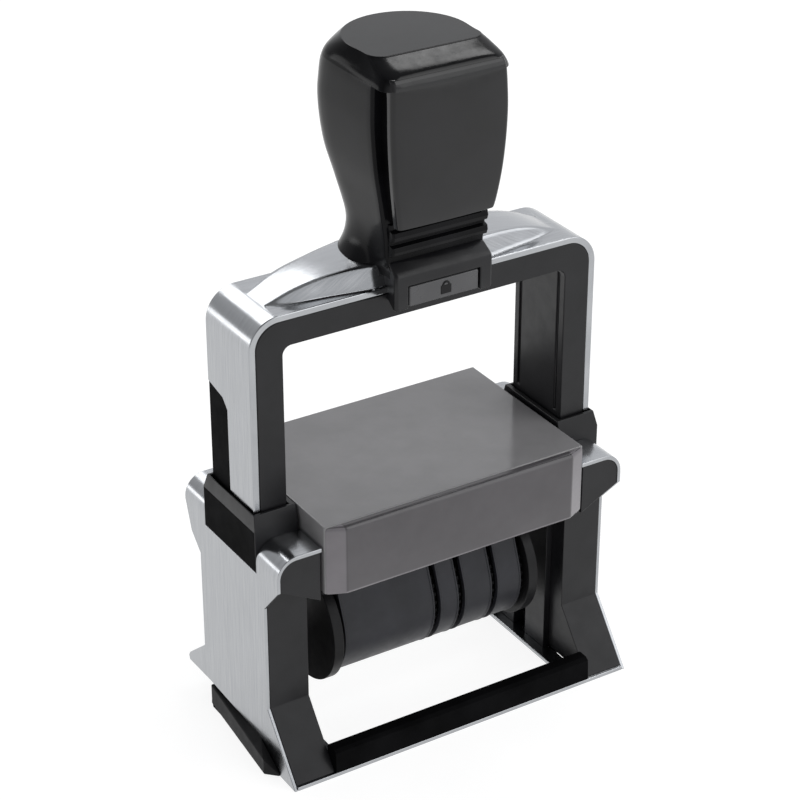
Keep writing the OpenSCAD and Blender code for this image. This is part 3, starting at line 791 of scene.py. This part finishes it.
frame_skin()
grip_shell()
grip_panel()
grip_cap()
neck_ribs()
saddle_block()
lock_button()
cassette_plate()
shade_plates()
spring("left")
spring("right")
dating_bands()
band("phrase_band")
for band_name in ("phrase", "day", "month", "year"):
    setting_wheel(band_name + "_wheel", band_name + "_setting")


# ---------------------------------------------------------------- camera, light, floor

STAMP_MIDDLE = Vector((0, 0, 0.09))


def set_camera():
    """Above the front-left corner, looking at the middle of the stamp."""
    yaw, pitch = math.radians(31.773), math.radians(28.560)
    back = Vector((-math.sin(yaw) * math.cos(pitch), -math.cos(yaw) * math.cos(pitch), math.sin(pitch)))
    right = Vector((math.cos(yaw), -math.sin(yaw), 0))
    up = back.cross(right)
    data = bpy.data.cameras.new("camera")
    data.lens, data.sensor_width = 106.68, 36.0
    data.clip_start, data.clip_end = 0.01, 10.0
    camera = new_object("camera", data)
    turn = Matrix((right, up, back)).transposed().to_4x4()
    camera.matrix_world = Matrix.Translation((-0.23692, -0.38051, 0.31480)) @ turn
    bpy.context.scene.camera = camera


def set_floor():
    """A white table."""
    n = Nodes(bpy.data.materials.new("floor"))
    speck = n.noise(20.0, 3.0)
    n.link(n.tint(speck, (0.24, 0.24, 0.24), (0.26, 0.26, 0.26)), n.shader.inputs["Base Color"])
    n.set(Roughness=0.7, Specular_IOR_Level=0.2, Emission_Color=(1, 1, 1, 1), Emission_Strength=0.86)
    half = 3.0
    mesh = bpy.data.meshes.new("floor")
    corners = [(-half, -half, 0), (half, -half, 0), (half, half, 0), (-half, half, 0)]
    mesh.from_pydata(corners, [], [(0, 1, 2, 3)])
    mesh.materials.append(n.material)
    floor = new_object("floor", mesh)


def set_world():
    """A grey studio: bright on the right and low down, dim on the left and overhead."""
    world = bpy.data.worlds.new("studio")
    world.use_nodes = True
    tree = world.node_tree
    split = tree.nodes.new("ShaderNodeSeparateXYZ")
    tree.links.new(tree.nodes.new("ShaderNodeTexCoord").outputs["Generated"], split.inputs["Vector"])
    shares = []
    for axis, values in (("X", (-0.7, 0.40, 0.48, 0.98)), ("Z", (0.60, 0.78, 1.0, 0.35))):
        share = tree.nodes.new("ShaderNodeMapRange")
        for key, value in zip(("From Min", "From Max", "To Min", "To Max"), values):
            share.inputs[key].default_value = value
        tree.links.new(split.outputs[axis], share.inputs["Value"])
        shares.append(share.outputs["Result"])
    product = tree.nodes.new("ShaderNodeMath")
    product.operation = "MULTIPLY"
    for socket, share in zip(product.inputs, shares):
        tree.links.new(share, socket)
    tree.links.new(product.outputs["Value"], tree.nodes["Background"].inputs["Strength"])
    tree.nodes["Background"].inputs["Color"].default_value = (0.97, 0.98, 1.0, 1)
    bpy.context.scene.world = world


def softbox(name, azimuth, elevation, distance, size, radiance):
    """A rectangular soft light of an even radiance, turned to the stamp; azimuth goes from +Y to +X."""
    azimuth, elevation = math.radians(azimuth), math.radians(elevation)
    away = Vector((math.sin(azimuth) * math.cos(elevation), math.cos(azimuth) * math.cos(elevation),
                   math.sin(elevation)))
    data = bpy.data.lights.new(name, "AREA")
    data.shape = "RECTANGLE"
    data.size, data.size_y = size
    data.energy = radiance * math.pi * size[0] * size[1]
    light = new_object(name, data)
    light.location = STAMP_MIDDLE + distance * away
    light.rotation_mode = "QUATERNION"
    light.rotation_quaternion = (STAMP_MIDDLE - light.location).to_track_quat("-Z", "Y")


set_camera()
set_floor()
set_world()
softbox("back", -1, 40, 0.8, (0.43, 0.15), 3.4)
softbox("strip", 53, 54, 0.7, (0.30, 0.09), 6.5)
softbox("front", 132, 49, 0.8, (0.55, 0.50), 1.7)
softbox("low_front", 134, 21, 0.8, (0.55, 0.28), 1.0)
softbox("horizon", 152, 3, 0.9, (0.60, 0.18), 0.45)
softbox("low", -40, 0.5, 0.9, (0.30, 0.14), 2.4)
bpy.context.scene.view_settings.view_transform = "Standard"
